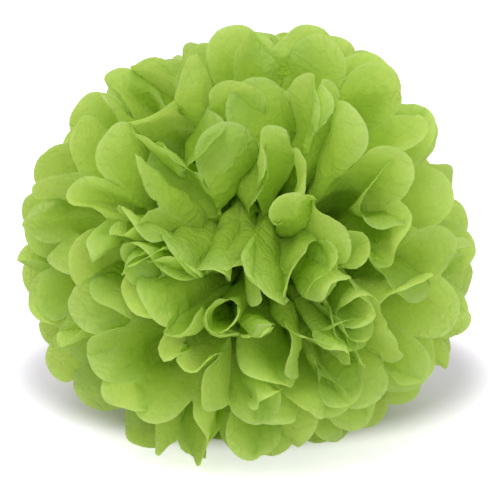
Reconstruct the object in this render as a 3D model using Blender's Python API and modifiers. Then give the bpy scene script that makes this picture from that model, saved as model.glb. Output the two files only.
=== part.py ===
"""A tissue paper flower. Twelve sheets are folded together into a fan, tied round the middle with wire, cut
round at the ends and opened out into a ball. It rests on its lowest petals, with one pole to the front."""

import math

import bmesh
import bpy
import numpy as np

# The paper, and the round end of each folded panel, which becomes a petal
SHEETS = 12
PANELS = 12
SHEET_LENGTH = 0.254
SHEET_WIDTH = 0.381
PAPER = 0.0003
NOTCH_DEPTH = 0.012
TIP_ROUNDNESS = 2.6
REACH = SHEET_LENGTH / 2
PANEL_WIDTH = SHEET_WIDTH / PANELS

# Where the paper bends on its way from the tie to the tips: shares of the reach and points in each panel
TIP_MARGIN = 0.006
TIP_ROW = REACH - NOTCH_DEPTH - TIP_MARGIN
OPEN_ROWS = ((0.355 * REACH, 1), (0.63 * REACH, 2), (TIP_ROW, 2))
TIP_PLACES = (0.0, 0.13, 0.5, 0.87)
NECK_POINTS = 5

# The gathered middle under the wire, and the gap there between the two halves of each fan
NECK_WIDTH = 0.009
NECK_PITCH = 0.0008
NESTING = 0.0005
HINGE = 0.0017
EDGE_GAP = 0.0006
WIDEST_NECK = NECK_WIDTH + 2 * NESTING * (SHEETS / 2 - 1)

# The wire
WIRE_RADIUS = 0.0004
WIRE_GAP = 0.0003
WIRE_CORNER = 0.0006
WIRE_SIDE = WIDEST_NECK / 2 + WIRE_GAP + WIRE_RADIUS
TWIST_START = WIRE_SIDE + 0.001
TWIST_LENGTH = 0.013
TWIST_RADIUS = WIRE_RADIUS + WIRE_GAP / 2
TWIST_TURNS = 2.5
TWIST_POINTS = 13

# How far round from the front pole the sheets stand, and how near it their folds may come
FIRST_ANGLE = math.radians(16)
LAST_ANGLE = math.radians(84)
FAN_STEP = math.pi / PANELS
NEAREST_FOLD = math.radians(6)
FOLD_SPREAD = math.radians(2)
LEAST_PLEAT = 0.1

# How far folds and petals stray from an even fan
SEED = 5
FOLD_LEAN = math.radians(4)
FOLD_TURN = math.radians(2.2)
PETAL_CURL = math.radians(5)
BOW = 0.0045

# Slow waves through the whole ball, that pull it a little out of true
WARP = 0.0055
WARP_LENGTH = 0.11
SMALL_WARP = 0.00225
SMALL_WARP_LENGTH = 0.06
WAVES = 8
LENGTH_KEPT = 0.75

# Where each of these begins and is full, as shares of the reach
OPEN_FADE = (0.0, 0.173)
TIE_FADE = (0.0, 0.095)
PLEAT_FADE = (0.12, 0.7)
LOOSE_FADE = (0.24, 0.83)
TIP_FADE = (0.59, 1.0)
BOW_FADE = (0.16, 0.71)
WARP_FADE = (0.16, 0.87)
SMALL_WARP_FADE = (0.31, 0.94)
FALL_FADE = (0.39, 0.98)

# The innermost petals in front have fallen together over the opening between them
FALL_CENTRE = (-0.005, 0.012)
FALL = (0.006, -0.014, -0.007)
FALL_RADIUS = 0.024

# Fingers opened the flower place by place, and each pull turned the paper round it
PULL_SEED = 20
PULLS = 50
LEFT_OUT = (0, 23)
PULL_ANGLE = math.radians(55)
WEAKEST_PULL = 0.5
PULL_RADIUS = (0.021, 0.033)
PULL_DISTANCE = (0.085, 0.118)
PULL_FADE = (0.3, 0.75)
PULL_HEIGHT_FADE = (-0.8, -0.45)

# Crumpling draws the petals in by this share
DRAWN_IN = 0.03
DRAWN_IN_FADE = (0.15, 0.6)

# How the ball stands: its pole tilted up, sagging, with its lowest petals bent along the floor
TILT = math.radians(10)
SQUASH = 0.975
SAG = 0.1
FLOOR_PRESS = 0.002
CENTRE_HEIGHT = SQUASH * (1 - DRAWN_IN) * TIP_ROW - FLOOR_PRESS

TISSUE_GREEN = (0.25, 0.43, 0.03)
WIRE_GREEN = (0.05, 0.12, 0.03)


def remove_everything():
    for obj in list(bpy.data.objects):
        bpy.data.objects.remove(obj, do_unlink=True)


def make_collection(name):
    collection = bpy.data.collections.new(name)
    bpy.context.scene.collection.children.link(collection)
    return collection


def make_material(name, colour, roughness, metallic):
    material = bpy.data.materials.new(name)
    material.use_nodes = True
    shader = material.node_tree.nodes["Principled BSDF"]
    shader.inputs["Base Color"].default_value = (*colour, 1.0)
    shader.inputs["Roughness"].default_value = roughness
    shader.inputs["Metallic"].default_value = metallic
    return material


def fade(value, low, high):
    """0 below low, 1 above high, and a smooth rise between."""
    step = np.clip((value - low) / (high - low), 0, 1)
    return step * step * (3 - 2 * step)


def at_least(value, least, softness):
    """The value, but easing to stay over the least one."""
    return least + softness * np.logaddexp(0, (value - least) / softness)


def waves(points, wavelength, seed):
    """A smooth wandering displacement of about 1 each way, a sum of plane waves."""
    random = np.random.RandomState(seed)
    moved = np.zeros(points.shape)
    for axis in range(3):
        for _ in range(WAVES):
            direction = random.normal(size=3)
            turns = direction / np.linalg.norm(direction) / (wavelength * random.uniform(0.8, 1.25))
            moved[..., axis] += np.sin(2 * math.pi * (points @ turns + random.uniform(0, 1)))
    return moved * math.sqrt(2 / WAVES)


def sheet_angle(sheet):
    """The sheet's angle from the front pole, the same on the back half from the back pole."""
    place = min(sheet, SHEETS - 1 - sheet) / (SHEETS / 2 - 1)
    angle = FIRST_ANGLE + (LAST_ANGLE - FIRST_ANGLE) * place
    return angle if sheet < SHEETS / 2 else math.pi - angle


def stray(sheet):
    """How far each fold and petal of one sheet leans, turns and curls: [left and right] x [fold or panel].
    The outer edges stay straight, side by side where the two halves of a fan meet."""
    random = np.random.RandomState(1000 * SEED + sheet)
    lean = random.uniform(-FOLD_LEAN, FOLD_LEAN, (2, PANELS + 1))
    turn = random.uniform(-FOLD_TURN, FOLD_TURN, (2, PANELS + 1))
    curl = random.uniform(-PETAL_CURL, PETAL_CURL, (2, PANELS))
    lean[:, [0, PANELS]] = 0
    turn[:, [0, PANELS]] = 0
    return lean, turn, curl


def split(across):
    """The panel that each place across the sheet is on, and its share of that panel's width."""
    panel = np.minimum(across.astype(int), PANELS - 1)
    return panel, across - panel


def folded(sheet, side, across, along):
    """Points of the folded and opened sheet before its panels bow. side is 0 on the left and 1 on the right,
    across counts the folds, and along is the distance from the tie. The front pole is +Z, and the gap between
    the halves lies in the plane X = 0."""
    panel, share = split(across)
    reached = along / REACH
    lean, turn, curl = (values[side] for values in stray(sheet))
    loose = fade(reached, *LOOSE_FADE)
    near_tie = 1 - fade(reached, *TIE_FADE)

    angle = math.pi / 2 + (sheet_angle(sheet) - math.pi / 2) * fade(reached, *OPEN_FADE)
    spacing = FAN_STEP * along * np.sin(angle)
    pleat = np.sqrt(np.maximum(PANEL_WIDTH**2 - spacing**2, (LEAST_PLEAT * PANEL_WIDTH) ** 2))
    swing = pleat / 2 * fade(reached, *PLEAT_FADE) / np.maximum(along, PAPER)
    ridge = at_least(angle - swing, NEAREST_FOLD + FOLD_SPREAD * sheet, NEAREST_FOLD)
    from_back = NEAREST_FOLD + FOLD_SPREAD * (SHEETS - 1 - sheet)
    valley = math.pi - at_least(math.pi - angle - swing, from_back, NEAREST_FOLD)
    on_ridge = np.abs(across % 2 - 1)
    polar = ridge * on_ridge + valley * (1 - on_ridge)
    polar = polar + (lean[panel] * (1 - share) + lean[panel + 1] * share) * loose
    polar = polar + curl[panel] * np.sqrt(4 * share * (1 - share)) * fade(reached, *TIP_FADE)
    turned = FAN_STEP * across - math.pi / 2 + (turn[panel] * (1 - share) + turn[panel + 1] * share) * loose

    nested = NESTING * min(sheet, SHEETS - 1 - sheet)
    from_gap = EDGE_GAP + (HINGE - EDGE_GAP) * (1 - loose) + nested * near_tie
    x = along * np.sin(polar) * np.cos(turned) + from_gap
    y = along * np.sin(polar) * np.sin(turned) + (across / PANELS - 0.5) * (NECK_WIDTH + 2 * nested) * near_tie
    z = along * np.cos(polar) - (sheet - (SHEETS - 1) / 2) * NECK_PITCH * near_tie
    return np.stack([x if side else -x, y, z], -1)


def bowed(sheet, side, across, along):
    """The sheet with its panels bowed a little between their folds, the same way on every sheet."""
    panel, share = split(across)
    near = 0.02
    inside = np.clip(across, near, PANELS - near)
    over = folded(sheet, side, inside + near, along) - folded(sheet, side, inside - near, along)
    out = folded(sheet, side, across, along + PAPER) - folded(sheet, side, across, along)
    normal = np.cross(over, out)
    normal /= np.linalg.norm(normal, axis=-1, keepdims=True)
    bow = np.random.RandomState(SEED).uniform(-BOW, BOW, (2, PANELS))[side, panel]
    bow = bow * np.sin(math.pi * share) * fade(along / REACH, *BOW_FADE) * (-1 if side else 1)
    return folded(sheet, side, across, along) + normal * bow[..., None]


def warped(points):
    """The whole ball pulled a little out of true, least near the tie and most of it sideways."""
    length = np.linalg.norm(points, axis=-1, keepdims=True)
    moved = points + waves(points, WARP_LENGTH, SEED + 50) * WARP * fade(length / REACH, *WARP_FADE)
    small = waves(points, SMALL_WARP_LENGTH, SEED + 51) * SMALL_WARP
    moved = moved + small * fade(length / REACH, *SMALL_WARP_FADE)
    new_length = np.linalg.norm(moved, axis=-1, keepdims=True)
    return moved * (LENGTH_KEPT * length + (1 - LENGTH_KEPT) * new_length) / new_length


def fallen(points):
    """The innermost petals in front pulled over the pole, those above it most."""
    away = np.hypot(points[..., 0] - FALL_CENTRE[0], points[..., 1] - FALL_CENTRE[1])
    share = np.exp(-0.5 * (away / FALL_RADIUS) ** 2) * fade(points[..., 2] / REACH, *FALL_FADE)
    return points + share[..., None] * np.array(FALL)


def pulled(points):
    """The paper turned about each place where it was pulled, but not at the tie or the floor. Turning moves
    neighbours together, so that they stay clear of each other."""
    random = np.random.RandomState(PULL_SEED)
    free = fade(np.linalg.norm(points, axis=-1, keepdims=True) / REACH, *PULL_FADE)
    height = points[..., 1:2] * math.cos(TILT) + points[..., 2:] * math.sin(TILT)
    free = free * fade(height / REACH, *PULL_HEIGHT_FADE)
    for number in range(PULLS):
        out = random.normal(size=3)
        out /= np.linalg.norm(out)
        centre = out * random.uniform(*PULL_DISTANCE)
        axis = random.normal(size=3)
        axis /= np.linalg.norm(axis)
        radius = random.uniform(*PULL_RADIUS)
        angle = random.uniform(WEAKEST_PULL, 1) * PULL_ANGLE * random.choice((-1, 1))
        if number in LEFT_OUT:
            continue
        away = points - centre
        share = np.exp(-0.5 * (np.linalg.norm(away, axis=-1, keepdims=True) / radius) ** 2)
        turn = angle * share * free
        onto_axis = (away @ axis)[..., None] * axis
        turned = away * np.cos(turn) + np.cross(axis, away) * np.sin(turn)
        points = centre + turned + onto_axis * (1 - np.cos(turn))
    return points


def drawn_in(points):
    """The ball made a little smaller, but not its tie."""
    length = np.linalg.norm(points, axis=-1, keepdims=True)
    return points * (1 - DRAWN_IN * fade(length / REACH, *DRAWN_IN_FADE))


def stood(points):
    """The front pole turned to -Y and tilted up, and the petals that reach the floor bent along it."""
    sine = math.sin(TILT)
    cosine = math.cos(TILT)
    height = SQUASH * (points[..., 1] * cosine + points[..., 2] * sine)
    wider = 1 - SAG * height / REACH
    side = wider * points[..., 0]
    depth = wider * (points[..., 1] * sine - points[..., 2] * cosine)
    below = np.maximum(-CENTRE_HEIGHT - height, 0)
    outward = np.where(points[..., 2] > 0, -1, 1)
    return np.stack([side, depth + outward * below, height + below], -1)


def tip_distance(share):
    """How far from the tie a petal's round end is, at this share of its width."""
    edge = np.abs(2 * share - 1)
    return REACH - NOTCH_DEPTH * (1 - (1 - edge**TIP_ROUNDNESS) ** (1 / TIP_ROUNDNESS))


def half_rows():
    """Rows of points from the tie to the tips of one half, each as places across and distances along."""
    rows = [(np.linspace(0, PANELS, NECK_POINTS), np.zeros(NECK_POINTS))]
    for distance, columns in OPEN_ROWS:
        across = np.arange(PANELS * columns + 1) / columns
        rows.append((across, np.full(len(across), distance)))
    across = np.append((np.arange(PANELS)[:, None] + np.array(TIP_PLACES)).ravel(), PANELS)
    rows.append((across, tip_distance(across % 1)))
    return rows


def join_rows(mesh, first, second):
    """Triangles between two rows of vertices of different counts, each row with its places across."""
    corners = [first[0][0], second[0][0]]
    waiting = [(a + b, 0, vertex) for a, b, vertex in zip(first[1], first[1][1:], first[0][1:])]
    waiting += [(a + b, 1, vertex) for a, b, vertex in zip(second[1], second[1][1:], second[0][1:])]
    for _, row, vertex in sorted(waiting, key=lambda step: step[:2]):
        mesh.faces.new((corners[0], corners[1], vertex))
        corners[row] = vertex


def make_sheet(sheet, collection, material):
    mesh = bmesh.new()
    rows = [(0, *row) for row in reversed(half_rows())] + [(1, *row) for row in half_rows()]
    lines = []
    for side, across, along in rows:
        points = stood(drawn_in(pulled(fallen(warped(bowed(sheet, side, across, along))))))
        lines.append(([mesh.verts.new(point) for point in points], list(across)))
    for first, second in zip(lines, lines[1:]):
        join_rows(mesh, first, second)
    name = f"tissue_sheet_{sheet + 1:02d}"
    data = bpy.data.meshes.new(name)
    mesh.to_mesh(data)
    mesh.free()
    data.materials.append(material)
    obj = bpy.data.objects.new(name, data)
    collection.objects.link(obj)
    solidify = obj.modifiers.new("Paper", "SOLIDIFY")
    solidify.thickness = PAPER
    solidify.offset = 0
    return obj


def twist(start_angle):
    """One strand of the twisted ends, from the loop outwards along +Y."""
    steps = np.linspace(0, 1, TWIST_POINTS)
    angle = start_angle + steps * TWIST_TURNS * 2 * math.pi
    x = TWIST_RADIUS * np.sin(angle)
    z = TWIST_RADIUS * np.cos(angle)
    return np.stack([x, TWIST_START + steps * TWIST_LENGTH, z], -1)


def make_wire(collection, material):
    """Wire round the middle of all the sheets, its two ends twisted together in the gap between the halves."""
    front = (SHEETS - 1) / 2 * NECK_PITCH + PAPER / 2 + WIRE_GAP + WIRE_RADIUS
    quarter = [(0, WIRE_SIDE, front - WIRE_CORNER), (0, WIRE_SIDE - WIRE_CORNER, front)]
    front_half = quarter + [(0, 0, front)] + [(0, -y, z) for _, y, z in reversed(quarter)]
    back_half = [(0, y, -z) for _, y, z in reversed(front_half)]
    route = np.concatenate([twist(0)[::-1], front_half, back_half, twist(math.pi)])
    curve = bpy.data.curves.new("wire_tie", "CURVE")
    curve.dimensions = "3D"
    curve.bevel_depth = WIRE_RADIUS
    curve.bevel_resolution = 1
    curve.use_fill_caps = True
    spline = curve.splines.new("POLY")
    spline.points.add(len(route) - 1)
    for point, place in zip(spline.points, stood(route)):
        point.co = (*place, 1)
    curve.materials.append(material)
    obj = bpy.data.objects.new("wire_tie", curve)
    collection.objects.link(obj)
    return obj


def centre_over_origin(objects):
    """Moves the ball to rest at height 0 with the middle of its box over the origin."""
    bpy.context.view_layer.update()
    graph = bpy.context.evaluated_depsgraph_get()
    points = []
    for obj in objects:
        evaluated = obj.evaluated_get(graph)
        points += [tuple(vertex.co) for vertex in evaluated.to_mesh().vertices]
        evaluated.to_mesh_clear()
    low = np.min(points, axis=0)
    middle = (low + np.max(points, axis=0)) / 2
    for obj in objects:
        obj.location = (-middle[0], -middle[1], -low[2])


remove_everything()
flower = make_collection("tissue paper flower")
tissue = make_material("tissue paper", TISSUE_GREEN, roughness=0.6, metallic=0.0)
wire = make_material("florist wire", WIRE_GREEN, roughness=0.4, metallic=0.3)
pieces = [make_sheet(sheet, flower, tissue) for sheet in range(SHEETS)]
pieces.append(make_wire(flower, wire))
centre_over_origin(pieces)
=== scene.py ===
"""A green tissue paper flower, dressed for its picture: twelve sheets and the wire round them."""
import math

import bpy
import numpy as np
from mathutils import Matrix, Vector


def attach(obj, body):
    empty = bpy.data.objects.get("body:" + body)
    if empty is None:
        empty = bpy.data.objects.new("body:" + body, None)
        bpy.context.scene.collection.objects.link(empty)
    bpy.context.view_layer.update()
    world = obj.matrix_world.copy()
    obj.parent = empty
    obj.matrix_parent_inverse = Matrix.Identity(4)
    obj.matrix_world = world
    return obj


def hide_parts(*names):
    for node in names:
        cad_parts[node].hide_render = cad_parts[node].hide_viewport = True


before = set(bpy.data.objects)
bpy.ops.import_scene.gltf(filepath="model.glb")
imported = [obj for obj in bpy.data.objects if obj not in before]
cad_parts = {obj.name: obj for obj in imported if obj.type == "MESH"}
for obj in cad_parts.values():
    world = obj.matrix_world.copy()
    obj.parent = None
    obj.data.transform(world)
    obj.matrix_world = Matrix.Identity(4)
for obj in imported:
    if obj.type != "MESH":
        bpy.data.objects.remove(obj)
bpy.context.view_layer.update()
scene = bpy.context.scene
scene.view_settings.view_transform = "Standard"

# The camera stands in front of the flower and looks at its middle from a little above. Its long
# lens keeps the near petals from looking too large.
LENS = 104
CAMERA_DISTANCE = 0.8
CAMERA_RISE = math.radians(16)
LOOKS_AT = Vector((0.0, 0.0, 0.0967))
camera_data = bpy.data.cameras.new("camera")
camera_data.lens = LENS
camera = bpy.data.objects.new("camera", camera_data)
from_flower = Vector((0, -math.cos(CAMERA_RISE), math.sin(CAMERA_RISE)))
camera.location = LOOKS_AT + CAMERA_DISTANCE * from_flower
camera.rotation_euler = (LOOKS_AT - camera.location).to_track_quat("-Z", "Y").to_euler()
scene.collection.objects.link(camera)
scene.camera = camera

# The sheets: twelve pieces of tissue, 254 x 381 mm each, folded together into twelve panels, tied
# round the middle and cut round at the ends. The fold is fanned out to a disc, and the sheets are
# pulled up one by one, six to the front and six to the back, so each panel's end is a petal.
SHEETS = 12
PANELS = 12
SHEET_LENGTH = 0.254
SHEET_WIDTH = 0.381
PAPER = 0.0003
REACH = SHEET_LENGTH / 2
PANEL_WIDTH = SHEET_WIDTH / PANELS
FAN_STEP = math.pi / PANELS
# Nothing is divided by less than these
LEAST_LENGTH = 1e-9
LEAST_NORMAL = 1e-12


def fade(value, low, high):
    """0 below low, 1 above high, and a smooth rise between."""
    step = np.clip((value - low) / (high - low), 0, 1)
    return step * step * (3 - 2 * step)


def at_least(value, least, softness):
    """The value, but easing to stay over the least one."""
    return least + softness * np.logaddexp(0, (value - least) / softness)


def split(across):
    """The panel that each place across the sheet is on, and its share of that panel's width."""
    panel = np.minimum(across.astype(int), PANELS - 1)
    return panel, across - panel


# The round cut ends, and the points of one half of a sheet: across each panel, and from the tie
# to the tips. The last rows take on the round of the ends.
NOTCH_DEPTH = 0.018
TIP_ROUNDNESS = 2.2
TIP_MARGIN = 0.006
TIP_ROW = REACH - NOTCH_DEPTH - TIP_MARGIN
ROUNDED_LATE = 6
PLACES = np.array([0.0, 0.04, 0.14, 0.3, 0.5, 0.7, 0.86, 0.96])
ROWS = 30


def tip_distance(share):
    """How far from the tie a petal's round end is, at this share of its width."""
    edge = np.abs(2 * share - 1)
    return REACH - NOTCH_DEPTH * (1 - (1 - edge**TIP_ROUNDNESS) ** (1 / TIP_ROUNDNESS))


def half_places():
    """How far across and along the flat sheet each point of one half is, from tie to tips."""
    across = np.append((np.arange(PANELS)[:, None] + PLACES).ravel(), PANELS)
    step = np.linspace(0, 1, ROWS)[:, None]
    rounded = (tip_distance(across % 1)[None, :] - TIP_ROW) * step**ROUNDED_LATE
    along = TIP_ROW * step + rounded
    return np.broadcast_to(across, along.shape), along


# How far the first and the middle sheets stand from the front pole, which is tilted up a little
FIRST_ANGLE = math.radians(16)
LAST_ANGLE = math.radians(84)
TILT = math.radians(10)
# How near the first sheet's folds come to the pole, how much further off each next sheet stays,
# and the least depth of a pleat, in shares of a panel
NEAREST_FOLD = math.radians(6)
FOLD_SPREAD = math.radians(2)
LEAST_PLEAT = 0.1
# How far folds and petals stray, and how far the fan's two edges overlap, except at the floor
STRAY_SEED = 5000
FOLD_LEAN = math.radians(4)
FOLD_TURN = math.radians(2.2)
PETAL_CURL = math.radians(3)
EDGE_OVERLAP = math.radians(2.5)
EDGE_LEAN = math.radians(3.4)
EDGE_FADE = (math.radians(20), math.radians(45))
# The gathered middle: its width, how far apart the sheets lie in it, how much wider each sheet is
# than the one inside it, and how far each half stays off the middle at the tie and at the tips
NECK_WIDTH = 0.009
NECK_PITCH = 0.0008
NESTING = 0.0005
HINGE = 0.0017
EDGE_GAP = 0.0006
# Where along a petal each of these comes in, in shares of its reach
OPEN_FADE = (0.0, 0.173)
TIE_FADE = (0.0, 0.095)
PLEAT_FADE = (0.08, 0.4)
LOOSE_FADE = (0.24, 0.83)
TIP_FADE = (0.59, 1.0)
# The panels bow a little between their folds. Which way a panel faces is taken over a small share
# of its width
BOW = 0.002
BOW_SEED = 5
BOW_FADE = (0.16, 0.71)
FACING_STEP = 0.02


def sheet_angle(sheet):
    """The sheet's angle from the front pole, the same on the back half from the back pole."""
    place = min(sheet, SHEETS - 1 - sheet) / (SHEETS / 2 - 1)
    angle = FIRST_ANGLE + (LAST_ANGLE - FIRST_ANGLE) * place
    return angle if sheet < SHEETS / 2 else math.pi - angle


def stray(sheet):
    """How far a sheet's folds lean and turn and its petals curl: [left and right] x [which one]."""
    random = np.random.RandomState(STRAY_SEED + sheet)
    lean = random.uniform(-FOLD_LEAN, FOLD_LEAN, (2, PANELS + 1))
    turn = random.uniform(-FOLD_TURN, FOLD_TURN, (2, PANELS + 1))
    curl = random.uniform(-PETAL_CURL, PETAL_CURL, (2, PANELS))
    off_floor = fade(abs(sheet_angle(sheet) - math.pi / 2 - TILT), *EDGE_FADE)
    for fold, overlap, share in ((0, -EDGE_OVERLAP, off_floor), (PANELS, EDGE_OVERLAP, 1)):
        lean[:, fold] = EDGE_LEAN * share, -EDGE_LEAN * share
        turn[:, fold] = overlap * share
    return lean, turn, curl


def folded(sheet, side, across, along):
    """Points of the folded and opened sheet before its panels bow. side is 0 on the left and 1 on
    the right, across counts the folds, and along is the distance from the tie. The front pole
    is +Z."""
    panel, share = split(across)
    reached = along / REACH
    lean, turn, curl = (values[side] for values in stray(sheet))
    loose = fade(reached, *LOOSE_FADE)
    near_tie = 1 - fade(reached, *TIE_FADE)

    angle = math.pi / 2 + (sheet_angle(sheet) - math.pi / 2) * fade(reached, *OPEN_FADE)
    spacing = FAN_STEP * along * np.sin(angle)
    pleat = np.sqrt(np.maximum(PANEL_WIDTH**2 - spacing**2, (LEAST_PLEAT * PANEL_WIDTH) ** 2))
    swing = pleat / 2 * fade(reached, *PLEAT_FADE) / np.maximum(along, PAPER)
    ridge = at_least(angle - swing, NEAREST_FOLD + FOLD_SPREAD * sheet, NEAREST_FOLD)
    from_back = NEAREST_FOLD + FOLD_SPREAD * (SHEETS - 1 - sheet)
    valley = math.pi - at_least(math.pi - angle - swing, from_back, NEAREST_FOLD)
    on_ridge = np.abs(across % 2 - 1)
    polar = ridge * on_ridge + valley * (1 - on_ridge)
    polar = polar + (lean[panel] * (1 - share) + lean[panel + 1] * share) * loose
    polar = polar + curl[panel] * np.sqrt(4 * share * (1 - share)) * fade(reached, *TIP_FADE)
    strayed = (turn[panel] * (1 - share) + turn[panel + 1] * share) * loose
    turned = FAN_STEP * across - math.pi / 2 + strayed

    nested = NESTING * min(sheet, SHEETS - 1 - sheet)
    from_gap = EDGE_GAP + (HINGE - EDGE_GAP) * (1 - loose) + nested * near_tie
    in_neck = (across / PANELS - 0.5) * (NECK_WIDTH + 2 * nested) * near_tie
    x = along * np.sin(polar) * np.cos(turned) + from_gap
    y = along * np.sin(polar) * np.sin(turned) + in_neck
    z = along * np.cos(polar) - (sheet - (SHEETS - 1) / 2) * NECK_PITCH * near_tie
    return np.stack([x if side else -x, y, z], -1)


def bowed(sheet, side, across, along):
    """The sheet with its panels bowed a little between their folds, the same way on every sheet."""
    panel, share = split(across)
    inside = np.clip(across, FACING_STEP, PANELS - FACING_STEP)
    after = folded(sheet, side, inside + FACING_STEP, along)
    over = after - folded(sheet, side, inside - FACING_STEP, along)
    out = folded(sheet, side, across, along + PAPER) - folded(sheet, side, across, along)
    normal = np.cross(over, out)
    normal /= np.linalg.norm(normal, axis=-1, keepdims=True)
    bow = np.random.RandomState(BOW_SEED).uniform(-BOW, BOW, (2, PANELS))[side, panel]
    bow = bow * np.sin(math.pi * share) * fade(along / REACH, *BOW_FADE) * (-1 if side else 1)
    return folded(sheet, side, across, along) + normal * bow[..., None]


# The slow waves that pull the ball out of true, long ones and short ones
WARP = 0.0055
WARP_LENGTH = 0.11
WARP_SEED = 55
WARP_FADE = (0.16, 0.87)
SMALL_WARP = 0.00225
SMALL_WARP_LENGTH = 0.06
SMALL_WARP_SEED = 56
SMALL_WARP_FADE = (0.31, 0.94)
WAVES = 8
WAVE_SPREAD = (0.8, 1.25)
LENGTH_KEPT = 0.75
# Where the innermost petals in front are pulled over, and how far
FALL_CENTRE = (-0.005, 0.03)
FALL = (0.012, -0.04, 0.0)
FALL_RADIUS = 0.03
FALL_FADE = (0.39, 0.98)


def waves(points, wavelength, seed):
    """A smooth wandering displacement of about 1 each way, a sum of plane waves."""
    random = np.random.RandomState(seed)
    moved = np.zeros(points.shape)
    for axis in range(3):
        for _ in range(WAVES):
            heading = random.normal(size=3)
            length = wavelength * random.uniform(*WAVE_SPREAD)
            turns = heading / np.linalg.norm(heading) / length
            moved[..., axis] += np.sin(2 * math.pi * (points @ turns + random.uniform(0, 1)))
    return moved * math.sqrt(2 / WAVES)


def warped(points):
    """The whole ball pulled a little out of true, least near the tie and most of it sideways."""
    length = np.linalg.norm(points, axis=-1, keepdims=True)
    large = waves(points, WARP_LENGTH, WARP_SEED) * WARP
    moved = points + large * fade(length / REACH, *WARP_FADE)
    small = waves(points, SMALL_WARP_LENGTH, SMALL_WARP_SEED) * SMALL_WARP
    moved = moved + small * fade(length / REACH, *SMALL_WARP_FADE)
    new_length = np.linalg.norm(moved, axis=-1, keepdims=True)
    return moved * (LENGTH_KEPT * length + (1 - LENGTH_KEPT) * new_length) / new_length


def fallen(points):
    """The innermost petals in front pulled over the pole, those above it most."""
    away = np.hypot(points[..., 0] - FALL_CENTRE[0], points[..., 1] - FALL_CENTRE[1])
    share = np.exp(-0.5 * (away / FALL_RADIUS) ** 2) * fade(points[..., 2] / REACH, *FALL_FADE)
    return points + share[..., None] * np.array(FALL)


# Fingers opened the flower petal by petal, and each pull turned the paper round it. Two pulls are
# left out, as in the source
PULL_SEED = 20
PULLS = 50
LEFT_OUT = (0, 23)
PULL_ANGLE = math.radians(55)
PULL_RADIUS = (0.021, 0.033)
# Small pulls twisted single petals
SMALL_PULL_SEED = 4
SMALL_PULLS = 60
SMALL_PULL_ANGLE = math.radians(65)
SMALL_PULL_RADIUS = (0.012, 0.019)
# Both kinds: the weakest in shares of the strongest, how far out they are, and where the paper is
# free to turn, from the tie outward and from the floor upward
WEAKEST_PULL = 0.5
PULL_DISTANCE = (0.085, 0.118)
PULL_FADE = (0.3, 0.75)
PULL_HEIGHT_FADE = (-0.8, -0.45)
# Each fold's end also leans and turns by itself
END_SEED = 20
END_LEAN = math.radians(16)
END_TURN = math.radians(8)
END_FADE = (0.4, 1.0)


def pulled(points):
    """The paper turned round each place where it was pulled. Turning moves neighbours together, so
    a pull pushes no sheet through another."""
    free = fade(np.linalg.norm(points, axis=-1, keepdims=True) / REACH, *PULL_FADE)
    height = points[..., 1:2] * math.cos(TILT) + points[..., 2:] * math.sin(TILT)
    free = free * fade(height / REACH, *PULL_HEIGHT_FADE)
    large = (PULL_SEED, PULLS, LEFT_OUT, PULL_ANGLE, PULL_RADIUS)
    small = (SMALL_PULL_SEED, SMALL_PULLS, (), SMALL_PULL_ANGLE, SMALL_PULL_RADIUS)
    for seed, pulls, left_out, most, radii in (large, small):
        random = np.random.RandomState(seed)
        for number in range(pulls):
            out = random.normal(size=3)
            out /= np.linalg.norm(out)
            centre = out * random.uniform(*PULL_DISTANCE)
            axis = random.normal(size=3)
            axis /= np.linalg.norm(axis)
            radius = random.uniform(*radii)
            angle = random.uniform(WEAKEST_PULL, 1) * most * random.choice((-1, 1))
            if number in left_out:
                continue
            away = points - centre
            distance = np.linalg.norm(away, axis=-1, keepdims=True)
            turn = angle * np.exp(-0.5 * (distance / radius) ** 2) * free
            onto_axis = (away @ axis)[..., None] * axis
            turned = away * np.cos(turn) + np.cross(axis, away) * np.sin(turn)
            points = centre + turned + onto_axis * (1 - np.cos(turn))
    return points


def ends_strayed(points, across, along, seed):
    """Every fold's end leaned towards a pole and turned round the flower, each by its own angle."""
    random = np.random.RandomState(seed)
    lean = random.uniform(-END_LEAN, END_LEAN, PANELS + 1)
    turn = random.uniform(-END_TURN, END_TURN, PANELS + 1)
    panel, share = split(across)
    near_tip = fade(along / REACH, *END_FADE)
    lean = (lean[panel] * (1 - share) + lean[panel + 1] * share) * near_tip
    turn = (turn[panel] * (1 - share) + turn[panel + 1] * share) * near_tip
    from_axis = np.maximum(np.hypot(points[..., 0], points[..., 1]), LEAST_LENGTH)
    polar = np.arctan2(from_axis, points[..., 2]) - lean
    round_pole = np.arctan2(points[..., 1], points[..., 0]) + turn
    length = np.linalg.norm(points, axis=-1)
    side = length * np.sin(polar)
    x = side * np.cos(round_pole)
    y = side * np.sin(round_pole)
    return np.stack([x, y, length * np.cos(polar)], -1)


# The paper ripples towards the tips
FLUTTER = 0.0016
FLUTTER_LENGTH = 0.021
FLUTTER_FADE = (0.45, 1.0)
RIPPLES = 10
RIPPLE_SPREAD = (0.7, 1.4)
# Handling left small facets, partly through the whole stack and partly on each sheet. Their edges
# bend a little, in sizes of a facet, and their corners' heights come from a table, which repeats
CRUMPLE = 0.002
CRUMPLE_LENGTH = 0.018
CRUMPLE_FADE = (0.2, 0.7)
CRUMPLE_SEED = 70
OWN_CRUMPLE = 0.4
OWN_CRUMPLE_SEED = 50
FACET_BEND = 0.5
FACET_BEND_LENGTH = 4
CORNERS_WIDE = 97
CORNERS_HIGH = 89
# It also left creases: their slope, how far each reaches, and where and how they lie
CREASES = 36
CREASE_SLOPE = 1.1
CREASE_REACH = 0.024
CREASE_SEED = 10
CREASE_PLACES = (0.5, 0.98)
CREASE_HEADING = 1.2
WEAKEST_CREASE = 0.4
CREASE_FADE = (0.3, 0.6)
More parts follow.
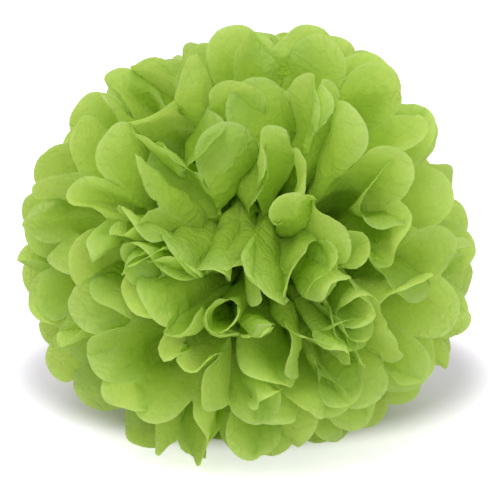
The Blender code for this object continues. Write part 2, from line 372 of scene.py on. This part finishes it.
# Most petals are creased along their middle, some of it through the whole stack
MIDDLE_CREASE = 1.3
MIDDLE_SEED = 65
MIDDLE_FADE = (0.3, 0.8)
OWN_MIDDLE = 0.5
OWN_MIDDLE_SEED = 30
# The seeds of a sheet's two halves are this far from those of the next sheet
SEED_STEP = 100
# How the ball stands: a little flattened and sagged, with its lowest petals bent along the floor.
# The tie's height and place are the source's
SQUASH = 0.975
SAG = 0.1
CENTRE_HEIGHT = 0.101087
TIE_AT = np.array([-0.001499, -0.001127, 0.101237])


def ripples(across, along, wavelength, seed):
    """Waves of about 1 in the flat sheet, where the paper ripples."""
    random = np.random.RandomState(seed)
    height = np.zeros(across.shape)
    for _ in range(RIPPLES):
        heading = random.uniform(0, 2 * math.pi)
        turns = 1 / (wavelength * random.uniform(*RIPPLE_SPREAD))
        place = across * PANEL_WIDTH * math.cos(heading) + along * math.sin(heading)
        height += np.sin(2 * math.pi * (place * turns + random.uniform(0, 1)))
    return height * math.sqrt(2 / RIPPLES)


def facets(across, along, size, seed):
    """Crumpled paper: flat three-sided facets about this size, each tilted by the heights of its
    corners. The lines between them bend, so that they don't look ruled."""
    bend = size * FACET_BEND
    bend_length = FACET_BEND_LENGTH * size
    u = (across * PANEL_WIDTH + bend * ripples(across, along, bend_length, seed + 1)) / size
    v = (along + bend * ripples(across, along, bend_length, seed + 2)) / size
    skew = (u + v) * (math.sqrt(3) - 1) / 2
    u, v = u + skew, v + skew
    i, j = np.floor(u).astype(int), np.floor(v).astype(int)
    x, y = u - i, v - j
    heights = np.random.RandomState(seed).uniform(-1, 1, (CORNERS_WIDE, CORNERS_HIGH))
    steps = ((0, 0), (1, 0), (0, 1), (1, 1))
    corners = [heights[(i + a) % CORNERS_WIDE, (j + b) % CORNERS_HIGH] for a, b in steps]
    first = np.where(x > y, (corners[1] - corners[0]) * x, (corners[3] - corners[2]) * x)
    second = np.where(x > y, (corners[3] - corners[1]) * y, (corners[2] - corners[0]) * y)
    return corners[0] + first + second


def creases(across, along, seed):
    """How far the paper stands off where it was creased: past each short crease it bends away."""
    random = np.random.RandomState(seed)
    u = across * PANEL_WIDTH
    height = np.zeros(u.shape)
    for _ in range(CREASES):
        place_u = random.uniform(0, SHEET_WIDTH)
        place_v = random.uniform(*CREASE_PLACES) * REACH
        heading = random.uniform(-CREASE_HEADING, CREASE_HEADING)
        past = (u - place_u) * math.sin(heading) + (along - place_v) * math.cos(heading)
        slope = random.uniform(WEAKEST_CREASE, 1.0) * CREASE_SLOPE * random.choice((-1, 1))
        near = np.exp(-((u - place_u) ** 2 + (along - place_v) ** 2) / (2 * CREASE_REACH**2))
        height += slope * np.maximum(past, 0) * near
    return height


def middle_creases(across, side, seed):
    """How far each panel stands off along its middle, where it was creased into a V."""
    shared = np.random.RandomState(MIDDLE_SEED + side).uniform(-1, 1, PANELS)
    own = np.random.RandomState(seed).uniform(-1, 1, PANELS)
    slope = MIDDLE_CREASE * (shared * (1 - OWN_MIDDLE) + own * OWN_MIDDLE)
    panel, share = split(across)
    return slope[panel] * (0.5 - np.abs(share - 0.5)) * PANEL_WIDTH


def raised(points, height):
    """The points moved off the sheet's own surface by this height."""
    normal = np.cross(np.gradient(points, axis=-2), np.gradient(points, axis=-3))
    normal /= np.maximum(np.linalg.norm(normal, axis=-1, keepdims=True), LEAST_NORMAL)
    return points + normal * height[..., None]


def stood(points):
    """The front pole turned to -Y and tilted up, and the petals that reach the floor bent along
    it."""
    sine = math.sin(TILT)
    cosine = math.cos(TILT)
    height = SQUASH * (points[..., 1] * cosine + points[..., 2] * sine)
    wider = 1 - SAG * height / REACH
    side = wider * points[..., 0]
    depth = wider * (points[..., 1] * sine - points[..., 2] * cosine)
    below = np.maximum(-CENTRE_HEIGHT - height, 0)
    outward = np.where(points[..., 2] > 0, -1, 1)
    return np.stack([side, depth + outward * below, height + below], -1) + TIE_AT


def half_points(sheet, side, across, along):
    """One half of a sheet, folded, opened, pulled about and creased, before the paper settles."""
    seed = SEED_STEP * sheet + side
    points = pulled(fallen(warped(bowed(sheet, side, across, along))))
    points = ends_strayed(points, across, along, seed + END_SEED)
    reached = along / REACH
    height = ripples(across, along, FLUTTER_LENGTH, seed) * FLUTTER * fade(reached, *FLUTTER_FADE)
    crumple = facets(across, along, CRUMPLE_LENGTH, CRUMPLE_SEED + side) * (1 - OWN_CRUMPLE)
    own = facets(across, along, CRUMPLE_LENGTH, seed + OWN_CRUMPLE_SEED)
    crumple = crumple + own * OWN_CRUMPLE
    height = height + crumple * CRUMPLE * fade(reached, *CRUMPLE_FADE)
    height = height + creases(across, along, seed + CREASE_SEED) * fade(reached, *CREASE_FADE)
    middle = middle_creases(across, side, seed + OWN_MIDDLE_SEED)
    height = height + middle * fade(reached, *MIDDLE_FADE)
    return stood(raised(points, height))


# Paper hardly stretches. So the points settle until each is as far from its neighbours as on the
# flat sheet. Points of different sheets are pushed apart, which keeps most of the paper clear, but
# between the points sheets still cross in places. Nothing goes below the table
SETTLE_STEPS = 120
STIFFNESS = 0.35
SHAPE_KEPT = 0.004
# Rows from the tie outward and half panels stay nearly straight. Elsewhere a bend stays as open as
# it began, and at least as open as this share of its flat length
STRAIGHT_ALONG = 0.985
STRAIGHT_ACROSS = 0.985
STRAIGHT_ROWS = 4
CLOSED_BEND = 0.6
# The numbers in PLACES of the points just after a fold, at mid panel and just before the next fold
AFTER_FOLD = 1
MID_PANEL = 4
BEFORE_FOLD = 7
# Where the paper is free to move, and how far apart points of different sheets are pushed, and
# where, from the tie outward
FREE_FADE = (0.05, 0.12)
SHEET_GAP = 0.0018
GAP_FADE = (0.12, 0.4)
# Near points are looked for anew after some steps, in a little more than the gap, and pushed
# apart more often
LOOK_EVERY = 15
LOOK_REACH = 1.4 * SHEET_GAP
PUSH_EVERY = 3


def near_pairs(points, sheet, reach):
    """Pairs of points of different sheets that are nearer each other than reach."""
    cell = np.floor((points - points.min(0)) / reach).astype(np.int64) + 1
    sides = cell.max(0) + 2
    key = (cell[:, 0] * sides[1] + cell[:, 1]) * sides[2] + cell[:, 2]
    order = np.argsort(key, kind="stable")
    key = key[order]
    start = np.concatenate([[0], np.cumsum(np.bincount(key, minlength=sides.prod()))])
    steps = [(i, j, k) for i in (-1, 0, 1) for j in (-1, 0, 1) for k in (-1, 0, 1)]
    here = np.arange(len(points))
    pairs = []
    for step in [step for step in steps if step >= (0, 0, 0)]:
        other = key + (step[0] * sides[1] + step[1]) * sides[2] + step[2]
        first = here + 1 if step == (0, 0, 0) else start[other]
        count = start[other + 1] - first
        begun = np.cumsum(count) - count
        partner = np.repeat(first - begun, count) + np.arange(count.sum())
        pairs.append(np.stack([order[np.repeat(here, count)], order[partner]]))
    one, two = np.concatenate(pairs, axis=1)
    near = np.linalg.norm(points[one] - points[two], axis=1) < reach
    close = (sheet[one] != sheet[two]) & near
    return one[close], two[close]


def kept_apart(points, one, two, gap, free):
    """Both points of each pair that is nearer than its gap moved half of what is missing, as far
    as they are free."""
    off = points[two] - points[one]
    length = np.sqrt((off * off).sum(1)) + LEAST_LENGTH
    short = np.minimum(gap[one], gap[two]) - length
    hit = short > 0
    one, two = one[hit], two[hit]
    push = (0.5 * short[hit] / length[hit])[:, None] * off[hit]
    count = len(points)
    hits = np.bincount(one, minlength=count) + np.bincount(two, minlength=count)
    moved = np.zeros(points.shape)
    for axis in range(3):
        forward = np.bincount(two, push[:, axis], count)
        moved[:, axis] = forward - np.bincount(one, push[:, axis], count)
    return points + moved / np.maximum(hits, 1)[:, None] * free


def joined(rows, columns):
    """The joins of a half sheet: the rows and columns of one end and of the other, and what the
    join keeps."""
    every = slice(None)
    joins = []
    for odd in (0, 1):
        inner, outer = slice(odd, rows - 1, 2), slice(odd + 1, rows, 2)
        left, right = slice(odd, columns - 1, 2), slice(odd + 1, columns, 2)
        joins.append(((inner, every), (outer, every), "length"))
        joins.append(((every, left), (every, right), "length"))
        joins.append(((inner, slice(0, columns - 1)), (outer, slice(1, columns)), "length"))
        joins.append(((inner, slice(1, columns)), (outer, slice(0, columns - 1)), "length"))
    joins.append(((slice(0, rows - 2), every), (slice(2, rows), every), "bend"))
    joins.append(((every, slice(0, columns - 2)), (every, slice(2, columns)), "bend"))
    inner, outer = slice(0, rows - STRAIGHT_ROWS), slice(STRAIGHT_ROWS, rows)
    joins.append(((inner, every), (outer, every), "straight along"))
    after, middle, before = (
        slice(place, columns, len(PLACES)) for place in (AFTER_FOLD, MID_PANEL, BEFORE_FOLD)
    )
    joins.append(((every, after), (every, middle), "straight across"))
    joins.append(((every, middle), (every, before), "straight across"))
    return joins


def settled(halves, across, along):
    """All the half sheets after the paper has taken back its flat lengths."""
    flat = np.stack([across * PANEL_WIDTH, along], -1)
    free = fade(along / REACH, *FREE_FADE)[None, ..., None]
    free = np.broadcast_to(free, halves.shape[:3] + (1,))
    rows, columns = along.shape
    held = []
    for start, end, kind in joined(rows, columns):
        one, two = (slice(None), *start), (slice(None), *end)
        length = np.linalg.norm(flat[end] - flat[start], axis=-1)[None, ..., None]
        if kind == "straight along":
            length = length * STRAIGHT_ALONG
        elif kind == "straight across":
            length = length * STRAIGHT_ACROSS
        elif kind == "bend":
            now = np.linalg.norm(halves[two] - halves[one], axis=-1, keepdims=True)
            length = np.clip(now, CLOSED_BEND * length, length)
        held.append((one, two, length, free[one], free[two], kind != "length"))
    sheet = np.repeat(np.arange(SHEETS), 2 * rows * columns)
    gap = SHEET_GAP * fade(along / REACH, *GAP_FADE)
    gap = np.broadcast_to(gap, halves.shape[:3]).ravel()
    loose = np.nonzero(gap > 0)[0]
    begun = halves.copy()
    for step in range(SETTLE_STEPS):
        for one, two, length, free_one, free_two, only_apart in held:
            off = halves[two] - halves[one]
            now = np.sqrt((off * off).sum(-1, keepdims=True)) + LEAST_LENGTH
            if only_apart:
                missing = np.minimum(now - length, 0) * STIFFNESS
            else:
                missing = (now - length) * 0.5
            push = missing / now * off
            halves[one] += push * free_one
            halves[two] -= push * free_two
        halves += SHAPE_KEPT * (begun - halves) * free
        if step % LOOK_EVERY == 0:
            found = near_pairs(halves.reshape(-1, 3)[loose], sheet[loose], LOOK_REACH)
            pairs = loose[np.stack(found)]
        if step % PUSH_EVERY == 0:
            points = kept_apart(halves.reshape(-1, 3), *pairs, gap, free.reshape(-1, 1))
            halves = points.reshape(halves.shape)
        halves[..., 2] = np.maximum(halves[..., 2], PAPER)
    return halves


# A new point is put between each two on a smooth curve through four of them, or through three
# beside a fold
THROUGH_FOUR = (-0.0625, 0.5625, 0.5625, -0.0625)
THROUGH_THREE = (0.375, 0.75, -0.125)
# The finest facets, and crisp ones, partly through the whole stack
FINE_CRUMPLE = 0.0004
FINE_CRUMPLE_LENGTH = 0.008
FINE_SEED = 900
CRISP = 0.0026
CRISP_LENGTH = 0.015
CRISP_SEED = 170
OWN_CRISP = 0.4
OWN_CRISP_SEED = 950
FINEST_FADE = (0.2, 0.6)


def between(count, per_panel):
    """The weights that put a smooth new point between each two of a row, with a fold at the end of
    each panel."""
    weights = np.zeros((2 * count - 1, count))
    for new in range(2 * count - 1):
        old = new // 2
        if new % 2 == 0:
            weights[new, old] = 1
        elif old % per_panel == 0:
            weights[new, old : old + 3] = THROUGH_THREE
        elif (old + 1) % per_panel == 0 or old + 2 == count:
            weights[new, old - 1 : old + 2] = THROUGH_THREE[::-1]
        else:
            weights[new, old - 1 : old + 3] = THROUGH_FOUR
    return weights


def refined(halves, across, along):
    """Twice as many points each way, and the finest creases on them."""
    over = between(across.shape[1], len(PLACES))
    out = between(across.shape[0], across.shape[0])
    halves = np.einsum("ri,hijx,cj->hrcx", out, halves, over)
    across = out @ across @ over.T
    along = out @ along @ over.T
    for half in range(len(halves)):
        fine = facets(across, along, FINE_CRUMPLE_LENGTH, FINE_SEED + half)
        shared = facets(across, along, CRISP_LENGTH, CRISP_SEED + half % 2)
        own = facets(across, along, CRISP_LENGTH, OWN_CRISP_SEED + half)
        height = fine * FINE_CRUMPLE
        height = height + shared * CRISP * (1 - OWN_CRISP)
        height = height + own * CRISP * OWN_CRISP
        halves[half] = raised(halves[half], height * fade(along / REACH, *FINEST_FADE))
    halves[..., 2] = np.maximum(halves[..., 2], PAPER)
    return halves, across, along


# How pale the folds are worn, and how pale the outer ends of the petals are painted, a painted
# light as if shining through them from behind. A cut edge is 1: worn, and also a painted highlight
# along its rim
FOLD_WORN = 0.45
TIP_PAINTED_LIGHT = 0.5
TIP_PAINTED_LIGHT_FADE = (0.8, 1.0)
# Each sheet takes its pattern from another place, this far along
PATTERN_STEP = 0.5


def make_sheet(sheet, halves, across, along, material):
    """A whole sheet from its left tips over the tie to its right tips."""
    points = np.concatenate([halves[2 * sheet][::-1], halves[2 * sheet + 1]])
    flat_u = np.concatenate([across, across]) * PANEL_WIDTH
    flat_v = np.concatenate([-along[::-1], along])
    rows, columns = flat_u.shape
    index = np.arange(rows * columns).reshape(rows, columns)
    corners = [index[:-1, :-1], index[1:, :-1], index[1:, 1:], index[:-1, 1:]]
    faces = np.stack(corners, -1).reshape(-1, 4)
    name = f"green_tissue_{sheet + 1:02d}"
    data = bpy.data.meshes.new(name)
    data.from_pydata(points.reshape(-1, 3).tolist(), [], faces.tolist())
    data.polygons.foreach_set("use_smooth", [True] * len(faces))
    flat = data.uv_layers.new(name="flat sheet")
    own_u = flat_u.ravel() + sheet * PATTERN_STEP
    flat.data.foreach_set("uv", np.stack([own_u[faces], flat_v.ravel()[faces]], -1).ravel())
    share = across[0] % 1
    # The pale tips are painted light, as if lit through from behind; the cut edges are worn and
    # carry a painted highlight; the folds are only worn
    wear_and_painted_light = TIP_PAINTED_LIGHT * fade(np.abs(flat_v) / tip_distance(share), *TIP_PAINTED_LIGHT_FADE)
    wear_and_painted_light[:, :: 2 * len(PLACES)] = FOLD_WORN
    wear_and_painted_light[[0, -1]] = 1
    wear_and_painted_light[:, [0, -1]] = 1
    wear_and_light = data.attributes.new("wear and painted light", "FLOAT", "POINT")
    wear_and_light.data.foreach_set("value", wear_and_painted_light.ravel())
    data.materials.append(material)
    obj = bpy.data.objects.new(name, data)
    scene.collection.objects.link(obj)
    return obj


# The tissue: thin soft paper, dyed green right through. Its fibres lie in clouds, handling has
# crinkled it, and light from behind shows through it. Scales are in cells a metre.
CLOUD_SCALE = 160
CLOUD_DETAIL = 4
CLOUD_ROUGHNESS = 0.62
PRESSED_SCALE = 30
PRESSED_DETAIL = 1
PRESSED_FROM = 0.5
PRESSED_TO = 0.66
BEND_SCALE = 55
BEND_DETAIL = 2
BEND_REACH = (0.012, 0.012, 0.0)
CRINKLE_SCALE = 120
CRINKLE_WIDTH = 0.16
FINE_CRINKLE_SCALE = 330
CRINKLE_RELIEF = 0.55
CLOUD_RELIEF = 0.35


def add_node(tree, kind, inputs=None, **settings):
    """A new shader node with these settings, and these values on its inputs."""
    node = tree.nodes.new("ShaderNode" + kind)
    for name, value in settings.items():
        setattr(node, name, value)
    for name, value in (inputs or {}).items():
        node.inputs[name].default_value = value
    return node


def link(source, out, target, into):
    """One node's output linked to another's input."""
    source.id_data.links.new(source.outputs[out], target.inputs[into])


texture = bpy.data.node_groups.new("tissue texture", "ShaderNodeTree")
texture.interface.new_socket("Flat Sheet", in_out="INPUT", socket_type="NodeSocketVector")
for name in ("Relief", "Cloud", "Crinkle", "Pressed"):
    texture.interface.new_socket(name, in_out="OUTPUT", socket_type="NodeSocketFloat")
flat_in = texture.nodes.new("NodeGroupInput")
made = texture.nodes.new("NodeGroupOutput")
# Clouds of thicker and thinner paper, about 6 mm across
cloud_values = {"Scale": CLOUD_SCALE, "Detail": CLOUD_DETAIL, "Roughness": CLOUD_ROUGHNESS}
cloud = add_node(texture, "TexNoise", cloud_values)
link(flat_in, "Flat Sheet", cloud, "Vector")
link(cloud, "Fac", made, "Cloud")
# Places about 30 mm across where fingers pressed the paper smooth
pressed = add_node(texture, "TexNoise", {"Scale": PRESSED_SCALE, "Detail": PRESSED_DETAIL})
pressed_range = {"From Min": PRESSED_FROM, "From Max": PRESSED_TO}
smooth = add_node(texture, "MapRange", pressed_range, interpolation_type="SMOOTHSTEP")
link(flat_in, "Flat Sheet", pressed, "Vector")
link(pressed, "Fac", smooth, "Value")
link(smooth, "Result", made, "Pressed")
# The crinkles bend where the paper was loose
bend = add_node(texture, "TexNoise", {"Scale": BEND_SCALE, "Detail": BEND_DETAIL})
bent = add_node(texture, "VectorMath", {1: BEND_REACH}, operation="MULTIPLY_ADD")
link(flat_in, "Flat Sheet", bend, "Vector")
link(bend, "Color", bent, 0)
link(flat_in, "Flat Sheet", bent, 2)
# Crinkles 8 mm apart, and finer ones between them
wide = add_node(
    texture,
    "TexVoronoi",
    {"Scale": CRINKLE_SCALE},
    feature="DISTANCE_TO_EDGE",
    voronoi_dimensions="2D",
)
fine = add_node(
    texture, "TexVoronoi", {"Scale": FINE_CRINKLE_SCALE}, feature="F1", voronoi_dimensions="2D"
)
link(bent, "Vector", wide, "Vector")
link(bent, "Vector", fine, "Vector")
crinkle_range = {"From Min": 0.0, "From Max": CRINKLE_WIDTH, "To Min": 1.0, "To Max": 0.0}
ridge = add_node(texture, "MapRange", crinkle_range, interpolation_type="SMOOTHSTEP")
link(wide, "Distance", ridge, "Value")
link(ridge, "Result", made, "Crinkle")
crinkled = add_node(texture, "Math", {1: CRINKLE_RELIEF}, operation="MULTIPLY_ADD")
link(ridge, "Result", crinkled, 0)
link(fine, "Distance", crinkled, 2)
grain = add_node(texture, "Math", {1: CLOUD_RELIEF}, operation="MULTIPLY_ADD")
link(cloud, "Fac", grain, 0)
link(crinkled, "Value", grain, 2)
link(grain, "Value", made, "Relief")

tissue = bpy.data.materials.new("green tissue")
tissue.use_nodes = True
tree = tissue.node_tree
tree.nodes.clear()
output = add_node(tree, "OutputMaterial")
flat_sheet = add_node(tree, "UVMap", uv_map="flat sheet")
paper = add_node(tree, "Group", node_tree=texture)
link(flat_sheet, "UV", paper, "Flat Sheet")
RELIEF_STRENGTH = 0.55
RELIEF_HEIGHT = 0.001
relief = add_node(tree, "Bump", {"Strength": RELIEF_STRENGTH, "Distance": RELIEF_HEIGHT})
link(paper, "Relief", relief, "Height")
# The dye: deeper where the paper is thick, paler where it is thin, and worn paler at folds. The
# paler tips are painted light shining through them, and the cut edges are worn and carry a painted
# highlight
DEEP_GREEN = (0.38, 0.57, 0.065, 1)
PALE_GREEN = (0.45, 0.64, 0.075, 1)
WORN_AND_LIT_GREEN = (0.62, 0.80, 0.30, 1)
THICKEST = 0.3
THINNEST = 0.72
WEAR_AND_LIGHT = 0.75
dye = add_node(tree, "Mix", {"A": DEEP_GREEN, "B": PALE_GREEN}, data_type="RGBA")
spread = add_node(tree, "MapRange", {"From Min": THICKEST, "From Max": THINNEST})
link(paper, "Cloud", spread, "Value")
link(spread, "Result", dye, "Factor")
# The pale mix below paints light into the tips and along the cut edges, on top of the wear at folds
# and edges
edge = add_node(tree, "Attribute", attribute_name="wear and painted light")
wear_and_light = add_node(tree, "Math", {1: WEAR_AND_LIGHT}, operation="MULTIPLY")
link(edge, "Fac", wear_and_light, 0)
worn_and_lit = add_node(tree, "Mix", {"B": WORN_AND_LIT_GREEN}, data_type="RGBA")
link(wear_and_light, "Value", worn_and_lit, "Factor")
link(dye, "Result", worn_and_lit, "A")
# The paper is nearly matt. Crinkles are a little smoother, and where it was pressed smooth it has
# a faint shine
PAPER_ROUGHNESS = 0.62
CRINKLE_ROUGHNESS = 0.42
PAPER_SPECULAR = 0.04
PRESSED_SHINE = 0.6
SHINE_ROUGHNESS = 0.3
gloss = add_node(tree, "MapRange", {"To Min": PAPER_ROUGHNESS, "To Max": CRINKLE_ROUGHNESS})
link(paper, "Crinkle", gloss, "Value")
shine = add_node(tree, "Math", {1: PRESSED_SHINE}, operation="MULTIPLY")
link(paper, "Pressed", shine, 0)
plain = {"Specular IOR Level": PAPER_SPECULAR, "Coat Roughness": SHINE_ROUGHNESS}
surface = add_node(tree, "BsdfPrincipled", plain)
link(shine, "Value", surface, "Coat Weight")
link(worn_and_lit, "Result", surface, "Base Color")
link(gloss, "Result", surface, "Roughness")
link(relief, "Normal", surface, "Normal")
# Four tenths of what the paper gives off is light that comes through it, yellower than its face
THROUGH = 0.4
THROUGH_GREEN = (0.68, 0.86, 0.16, 1)
glow = add_node(tree, "BsdfTranslucent", {"Color": THROUGH_GREEN})
link(relief, "Normal", glow, "Normal")
mix = add_node(tree, "MixShader", {"Fac": THROUGH})
link(surface, "BSDF", mix, 1)
link(glow, "BSDF", mix, 2)
link(mix, "Shader", output, "Surface")

across, along = half_places()
halves = [half_points(sheet, side, across, along) for sheet in range(SHEETS) for side in (0, 1)]
halves = np.array(halves)
halves = settled(halves, across, along)
halves, across, along = refined(halves, across, along)
for sheet in range(SHEETS):
    piece = make_sheet(sheet, halves, across, along, tissue)
    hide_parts(f"tissue_sheet_{sheet + 1:02d}")
    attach(piece, "root")

# The wire: one length of thin green-lacquered florist's wire. It goes once round the middle of the
# stack, and its ends are twisted together. The lacquer ran, and is darkest where it is thick.
LACQUER_THICK = (0.03, 0.085, 0.02, 1)
LACQUER_THIN = (0.075, 0.16, 0.05, 1)
LACQUER_METAL = 0.3
RUNS_SCALE = 900
RUNS_DETAIL = 3
SMOOTHEST_LACQUER = 0.3
ROUGHEST_LACQUER = 0.55
RUNS_STRENGTH = 0.4
RUNS_HEIGHT = 0.0001
lacquer = bpy.data.materials.new("green lacquered wire")
lacquer.use_nodes = True
tree = lacquer.node_tree
coat = tree.nodes["Principled BSDF"]
coat.inputs["Metallic"].default_value = LACQUER_METAL
solid = add_node(tree, "TexCoord")
runs = add_node(tree, "TexNoise", {"Scale": RUNS_SCALE, "Detail": RUNS_DETAIL})
link(solid, "Object", runs, "Vector")
green = add_node(tree, "Mix", {"A": LACQUER_THICK, "B": LACQUER_THIN}, data_type="RGBA")
link(runs, "Fac", green, "Factor")
link(green, "Result", coat, "Base Color")
polish = add_node(tree, "MapRange", {"To Min": SMOOTHEST_LACQUER, "To Max": ROUGHEST_LACQUER})
link(runs, "Fac", polish, "Value")
link(polish, "Result", coat, "Roughness")
uneven = add_node(tree, "Bump", {"Strength": RUNS_STRENGTH, "Distance": RUNS_HEIGHT})
link(runs, "Fac", uneven, "Height")
link(uneven, "Normal", coat, "Normal")
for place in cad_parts["wire_tie"].material_slots:
    place.material = lacquer

# The floor: a white table. It keeps the flower's soft shadow round its foot, and further out it
# glows to white where the camera sees it, so that it fades into the room.
FLOOR_SIZE = 6
FLOOR_GREY = (0.8, 0.8, 0.8, 1)
FLOOR_WHITE = (1.0, 0.95, 1.05, 1)
FLOOR_GLOW = 0.6
GLOW_FROM = 0.15
GLOW_TO = 0.2
SHADE_CENTRE = (0, 0.075, 0)
SHADE_LENGTH = (1.2, 1.5, 1)


def seen_by_camera(tree):
    """A node whose value is 1 to the camera, a reflection or a look through glass, and else 0."""
    path = add_node(tree, "LightPath")
    either = add_node(tree, "Math", operation="MAXIMUM")
    any_of_three = add_node(tree, "Math", operation="MAXIMUM")
    link(path, "Is Camera Ray", either, 0)
    link(path, "Is Glossy Ray", either, 1)
    link(either, "Value", any_of_three, 0)
    link(path, "Is Transmission Ray", any_of_three, 1)
    return any_of_three


bpy.ops.mesh.primitive_plane_add(size=FLOOR_SIZE)
floor = bpy.context.object
floor.name = "white_table"
white = bpy.data.materials.new("white table")
white.use_nodes = True
tree = white.node_tree
tree.nodes.clear()
output = add_node(tree, "OutputMaterial")
seen = seen_by_camera(tree)
# Grey to the light that it throws back on the flower, and white to the camera, tinted a little away
# from green so that it cancels the flower's green light in its shadow
colour = add_node(tree, "Mix", {"A": FLOOR_GREY, "B": FLOOR_WHITE}, data_type="RGBA")
link(seen, "Value", colour, "Factor")
paint = add_node(tree, "BsdfDiffuse")
link(colour, "Result", paint, "Color")
# The glow, painted light, sets in past an oval round the shadow and washes out the shadow beyond it
place = add_node(tree, "TexCoord")
shift = add_node(tree, "VectorMath", {1: SHADE_CENTRE}, operation="SUBTRACT")
stretch = add_node(tree, "VectorMath", {1: SHADE_LENGTH}, operation="MULTIPLY")
away = add_node(tree, "VectorMath", operation="LENGTH")
glow_range = {"From Min": GLOW_FROM, "From Max": GLOW_TO, "To Max": FLOOR_GLOW}
further = add_node(tree, "MapRange", glow_range, interpolation_type="SMOOTHSTEP")
strength = add_node(tree, "Math", operation="MULTIPLY")
shining = add_node(tree, "Emission")
both = add_node(tree, "AddShader")
link(place, "Object", shift, 0)
link(shift, "Vector", stretch, 0)
link(stretch, "Vector", away, 0)
link(away, "Value", further, "Value")
link(seen, "Value", strength, 0)
link(further, "Result", strength, 1)
link(strength, "Value", shining, "Strength")
link(paint, "BSDF", both, 0)
link(shining, "Emission", both, 1)
link(both, "Shader", output, "Surface")
floor.data.materials.append(white)

# The room: even light from all round the flower, and plain white where the camera sees the room
# itself, also in a reflection.
ROOM_LIGHT = 0.57
ROOM_SHOWN = 1.0
ROOM_WHITE = (1, 1, 1, 1)
room = bpy.data.worlds.new("white room")
scene.world = room
room.use_nodes = True
tree = room.node_tree
tree.nodes.clear()
output = add_node(tree, "OutputWorld")
lit = add_node(tree, "Background", {"Color": ROOM_WHITE, "Strength": ROOM_LIGHT})
shown = add_node(tree, "Background", {"Color": ROOM_WHITE, "Strength": ROOM_SHOWN})
choose = add_node(tree, "MixShader")
link(seen_by_camera(tree), "Value", choose, "Fac")
link(lit, "Background", choose, 1)
link(shown, "Background", choose, 2)
link(choose, "Shader", output, "Surface")

# The lamps: three large soft boxes that face the flower. The key light is high in front on the
# left, the fill light low in front on the right, and a weak one behind lightens the edges.
LAMPS_AIM = Vector((0, 0, 0.12))


def softbox(name, place, size, power):
    """A square soft light that faces the middle of the flower."""
    data = bpy.data.lights.new(name, "AREA")
    data.size = size
    data.energy = power
    lamp = bpy.data.objects.new(name, data)
    lamp.location = place
    lamp.rotation_euler = (LAMPS_AIM - Vector(place)).to_track_quat("-Z", "Y").to_euler()
    scene.collection.objects.link(lamp)


softbox("key light", place=(-0.25, -0.6, 1.05), size=0.6, power=4.5)
softbox("fill light", place=(0.4, -1.05, 0.33), size=0.8, power=3.0)
softbox("back light", place=(0.2, 1.0, 0.9), size=1.0, power=1.8)
